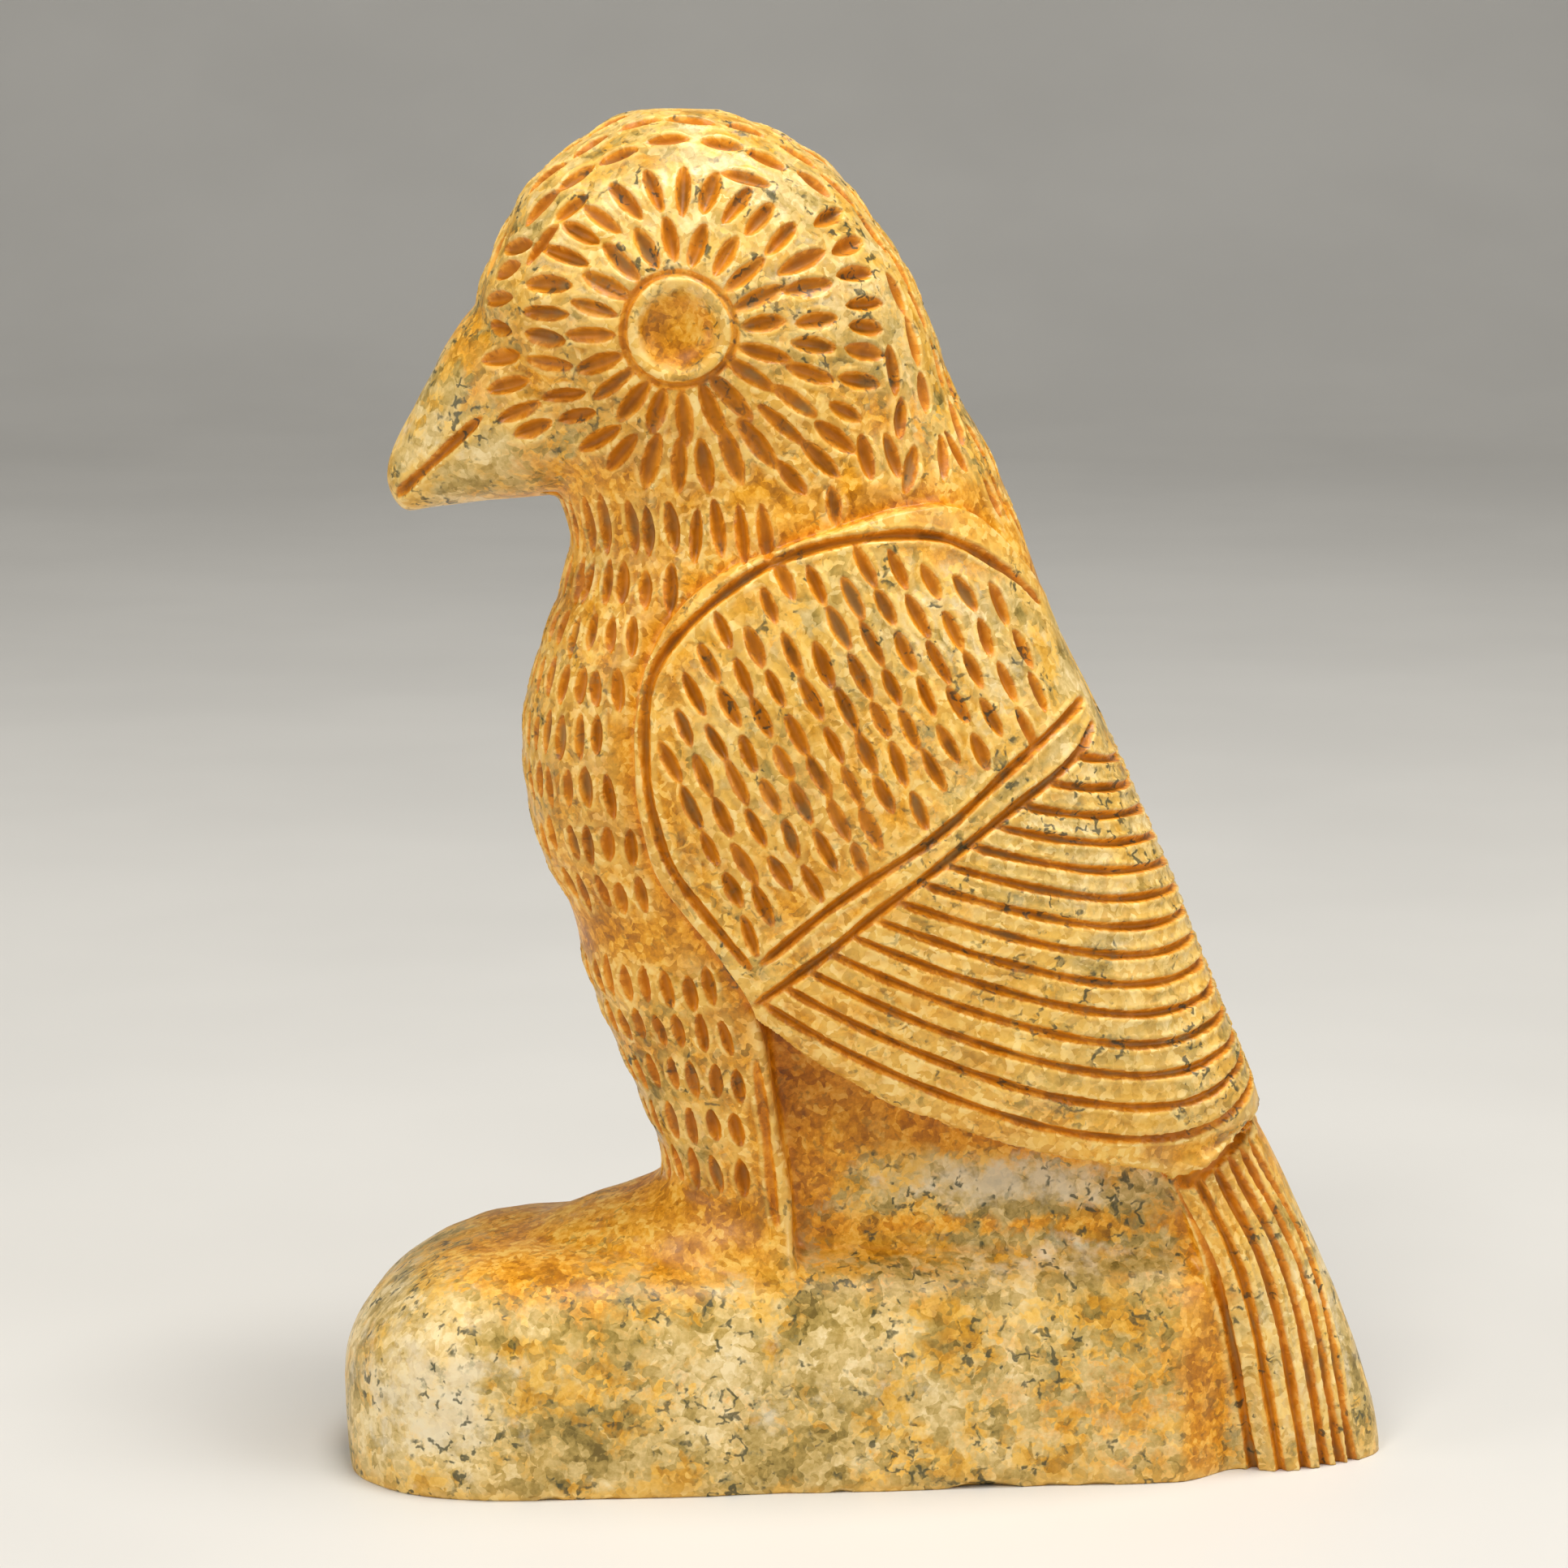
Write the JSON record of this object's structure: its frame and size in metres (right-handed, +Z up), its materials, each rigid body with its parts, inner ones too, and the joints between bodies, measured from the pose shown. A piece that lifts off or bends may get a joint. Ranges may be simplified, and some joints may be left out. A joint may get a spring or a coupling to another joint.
{
  "type": "stone bird statue",
  "caption": "Small carved stone bird with folded wings and a fanned tail, on a base cut from the same stone.",
  "frame": {"origin": "middle of the carving's bounding box, on the flat underside", "axes": "+Z up; the beak points along -X, the tail along +X; the bird's left side faces -Y"},
  "size_m": [0.1012, 0.037, 0.1301],
  "materials": {
    "stone": "polished cream and ochre soapstone with dark flecks and orange-brown patina in the cuts"
  },
  "bodies": {
    "root": {"stone_bird": "stone"}
  },
  "joints": []
}
